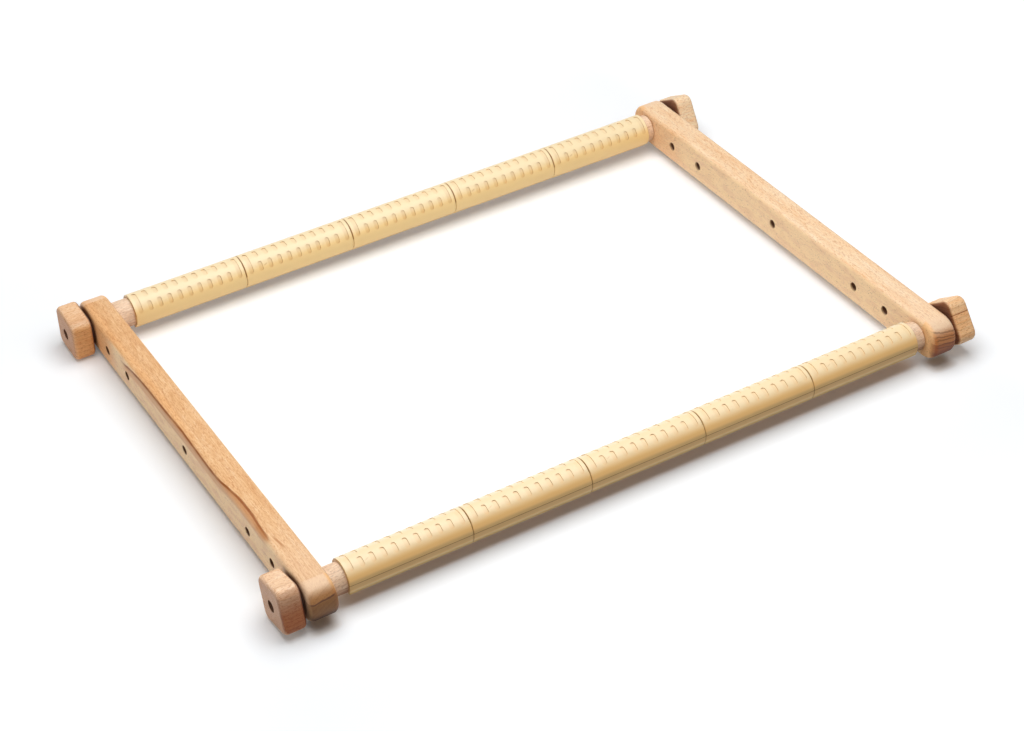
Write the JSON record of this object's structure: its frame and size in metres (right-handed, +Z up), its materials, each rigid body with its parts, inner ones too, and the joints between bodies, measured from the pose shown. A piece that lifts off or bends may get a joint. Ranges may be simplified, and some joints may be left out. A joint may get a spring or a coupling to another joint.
{
  "type": "embroidery scroll frame",
  "caption": "Wooden embroidery scroll frame: drilled side bars carry dowel rollers with springy fabric clips, clamped by square knobs.",
  "frame": {"origin": "on the table, under the middle of the frame", "axes": "+X along the rollers to the right, +Y from the front roller to the back one, +Z up"},
  "size_m": [0.5146, 0.367, 0.0388],
  "materials": {
    "bar_beech": "sanded and lightly oiled beech",
    "dowel_beech": "raw pale beech",
    "clip_plastic": "satin ivory",
    "knob_beech": "sanded and lightly oiled beech",
    "insert_brass": "dull",
    "bolt_steel": "zinc plated"
  },
  "bodies": {
    "side_bars": {"left_side_bar": "bar_beech", "right_side_bar": "bar_beech"},
    "front_roller": {"front_roller": "dowel_beech", "front_clip_1": "clip_plastic", "front_clip_2": "clip_plastic", "front_clip_3": "clip_plastic", "front_clip_4": "clip_plastic", "front_clip_5": "clip_plastic", "front_left_bolt": "bolt_steel", "front_right_bolt": "bolt_steel"},
    "back_roller": {"back_roller": "dowel_beech", "back_clip_1": "clip_plastic", "back_clip_2": "clip_plastic", "back_clip_3": "clip_plastic", "back_clip_4": "clip_plastic", "back_clip_5": "clip_plastic", "back_left_bolt": "bolt_steel", "back_right_bolt": "bolt_steel"},
    "front_left_washer": {"front_left_washer": "bolt_steel"},
    "front_left_knob": {"front_left_knob": "knob_beech", "front_left_insert": "insert_brass"},
    "back_left_washer": {"back_left_washer": "bolt_steel"},
    "back_left_knob": {"back_left_knob": "knob_beech", "back_left_insert": "insert_brass"},
    "front_right_washer": {"front_right_washer": "bolt_steel"},
    "front_right_knob": {"front_right_knob": "knob_beech", "front_right_insert": "insert_brass"},
    "back_right_washer": {"back_right_washer": "bolt_steel"},
    "back_right_knob": {"back_right_knob": "knob_beech", "back_right_insert": "insert_brass"}
  },
  "joints": [
    {"name": "front_roller_turn", "type": "hinge", "parent": "side_bars", "child": "front_roller", "pos_m": [0, -0.16375, 0.01942], "axis": [1, 0, 0], "continuous": true},
    {"name": "back_roller_turn", "type": "hinge", "parent": "side_bars", "child": "back_roller", "pos_m": [0, 0.16375, 0.01942], "axis": [1, 0, 0], "continuous": true},
    {"name": "front_left_knob_travel", "type": "slide", "parent": "front_roller", "child": "front_left_washer", "axis": [-1, 0, 0], "range_m": [0, 0.008]},
    {"name": "front_left_knob_turn", "type": "hinge", "parent": "front_left_washer", "child": "front_left_knob", "pos_m": [-0.24985, -0.16375, 0.01942], "axis": [-1, 0, 0], "range_deg": [0, 2880]},
    {"name": "back_left_knob_travel", "type": "slide", "parent": "back_roller", "child": "back_left_washer", "axis": [-1, 0, 0], "range_m": [0, 0.008]},
    {"name": "back_left_knob_turn", "type": "hinge", "parent": "back_left_washer", "child": "back_left_knob", "pos_m": [-0.24985, 0.16375, 0.01942], "axis": [-1, 0, 0], "range_deg": [0, 2880]},
    {"name": "front_right_knob_travel", "type": "slide", "parent": "front_roller", "child": "front_right_washer", "axis": [1, 0, 0], "range_m": [0, 0.008]},
    {"name": "front_right_knob_turn", "type": "hinge", "parent": "front_right_washer", "child": "front_right_knob", "pos_m": [0.24985, -0.16375, 0.01942], "axis": [1, 0, 0], "range_deg": [0, 2880]},
    {"name": "back_right_knob_travel", "type": "slide", "parent": "back_roller", "child": "back_right_washer", "axis": [1, 0, 0], "range_m": [0, 0.008]},
    {"name": "back_right_knob_turn", "type": "hinge", "parent": "back_right_washer", "child": "back_right_knob", "pos_m": [0.24985, 0.16375, 0.01942], "axis": [1, 0, 0], "range_deg": [0, 2880]}
  ],
  "couplings": [
    {"joint": "front_left_knob_travel", "follows": "front_left_knob_turn", "m_per_rad": 0.00015915},
    {"joint": "back_left_knob_travel", "follows": "back_left_knob_turn", "m_per_rad": 0.00015915},
    {"joint": "front_right_knob_travel", "follows": "front_right_knob_turn", "m_per_rad": 0.00015915},
    {"joint": "back_right_knob_travel", "follows": "back_right_knob_turn", "m_per_rad": 0.00015915}
  ]
}
